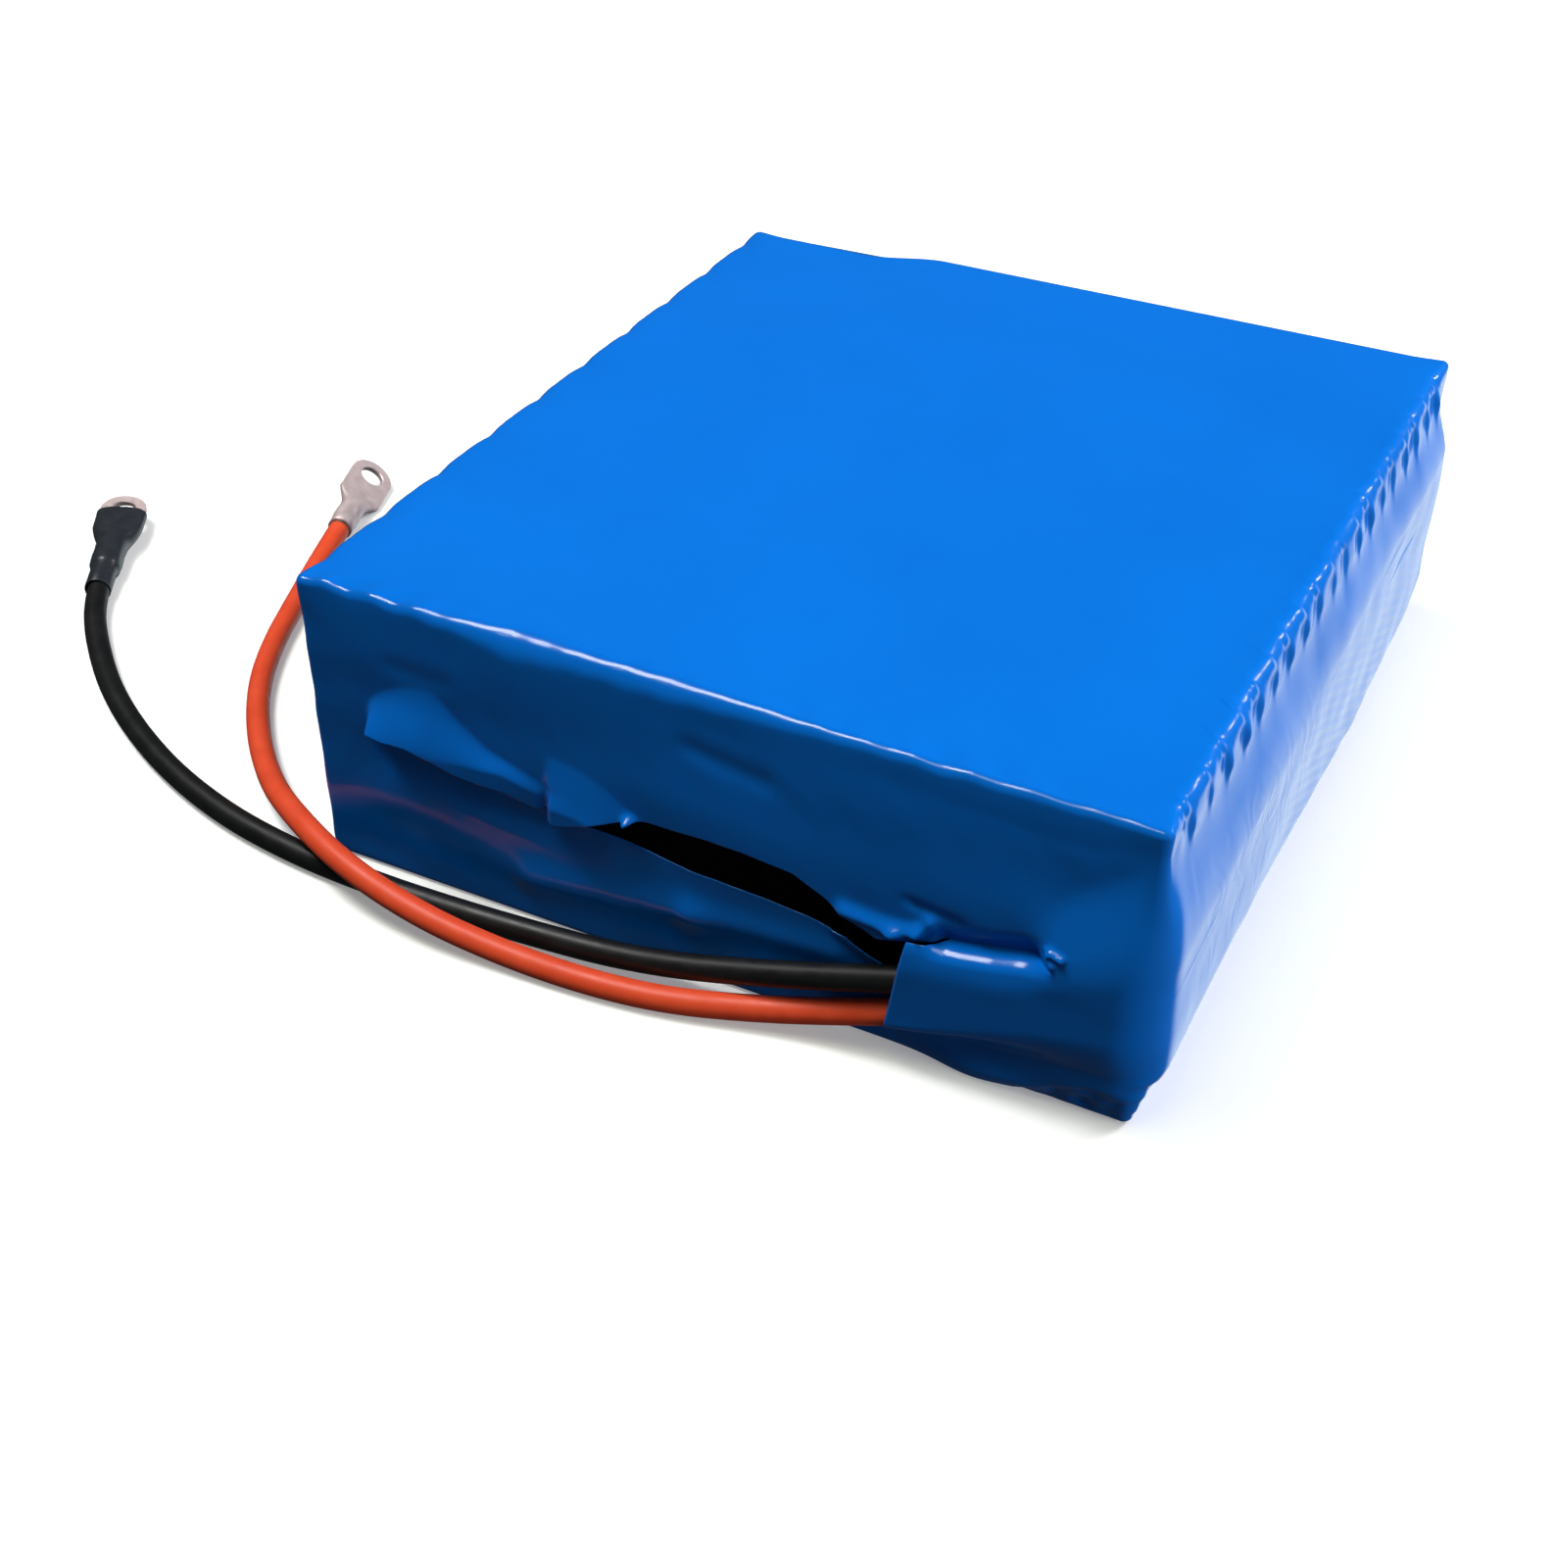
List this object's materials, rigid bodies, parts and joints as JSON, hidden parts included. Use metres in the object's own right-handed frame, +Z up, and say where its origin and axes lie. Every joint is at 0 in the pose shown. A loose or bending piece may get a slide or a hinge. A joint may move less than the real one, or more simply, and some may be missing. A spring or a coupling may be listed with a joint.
{
  "type": "battery pack",
  "caption": "Rechargeable battery pack of round cells in glossy blue shrink film, with a red and a black output lead that leave one front corner and end in ring lugs.",
  "frame": {"origin": "middle of the underside of the wrapped pack, its raised film channels counted and its free leads not, on the surface it stands on", "axes": "+X to the right along the front face, where the leads come out; +Y to the back, along the pack's length; +Z up"},
  "size_m": [0.3282, 0.2254, 0.0694],
  "materials": {
    "shrink_film": "glossy",
    "insulation_board": "matt, glass fibre and epoxy",
    "foam": "matt, closed cells",
    "cell_holder": "matt moulded plastic",
    "cell_wrap": "satin sleeve over a steel can",
    "nickel": "bright nickel",
    "circuit_board": "satin solder mask",
    "chip": "matt",
    "thermal_pad": "matt",
    "heat_sink": "plain extruded",
    "screw": "zinc plated",
    "shunt": "copper alloy",
    "connector": "matt nylon",
    "insulation_paper": "matt paper",
    "thin_wire": "satin insulation",
    "black_insulation": "satin silicone",
    "red_insulation": "satin silicone",
    "lug_metal": "tinned copper",
    "lug_sleeve": "satin shrink tube"
  },
  "bodies": {
    "root": {"back_foam_pad": "foam", "balance_header": "connector", "balance_plug": "connector", "balance_wires": "thin_wire", "black_lead": "black_insulation", "black_lead_inside": "black_insulation", "black_lug_sleeve": "lug_sleeve", "black_ring_lug": "lug_metal", "bms_circuit_board": "circuit_board", "bms_insulation_paper": "insulation_paper", "bms_mosfets": "chip", "bottom_cell_holder": "cell_holder", "bottom_insulation_board": "insulation_board", "bottom_nickel_plate_1": "nickel", "bottom_nickel_plate_2": "nickel", "bottom_nickel_plate_3": "nickel", "bottom_nickel_plate_4": "nickel", "bottom_nickel_plate_5": "nickel", "bottom_nickel_plate_6": "nickel", "bottom_nickel_plate_7": "nickel", "cell_group_01": "cell_wrap", "cell_group_02": "cell_wrap", "cell_group_03": "cell_wrap", "cell_group_04": "cell_wrap", "cell_group_05": "cell_wrap", "cell_group_06": "cell_wrap", "cell_group_07": "cell_wrap", "cell_group_08": "cell_wrap", "cell_group_09": "cell_wrap", "cell_group_10": "cell_wrap", "cell_group_11": "cell_wrap", "cell_group_12": "cell_wrap", "cell_group_13": "cell_wrap", "current_shunts": "shunt", "front_foam_pad": "foam", "heat_sink": "heat_sink", "heat_sink_screws": "screw", "monitor_chips": "chip", "negative_link_cable": "black_insulation", "negative_tab": "nickel", "positive_link_strip": "nickel", "red_lead": "red_insulation", "red_lead_inside": "red_insulation", "red_ring_lug": "lug_metal", "shrink_wrap": "shrink_film", "thermal_pad": "thermal_pad", "thermistor": "thin_wire", "top_cell_holder": "cell_holder", "top_insulation_board": "insulation_board", "top_nickel_plate_1": "nickel", "top_nickel_plate_2": "nickel", "top_nickel_plate_3": "nickel", "top_nickel_plate_4": "nickel", "top_nickel_plate_5": "nickel", "top_nickel_plate_6": "nickel", "top_nickel_plate_7": "nickel"}
  },
  "joints": []
}
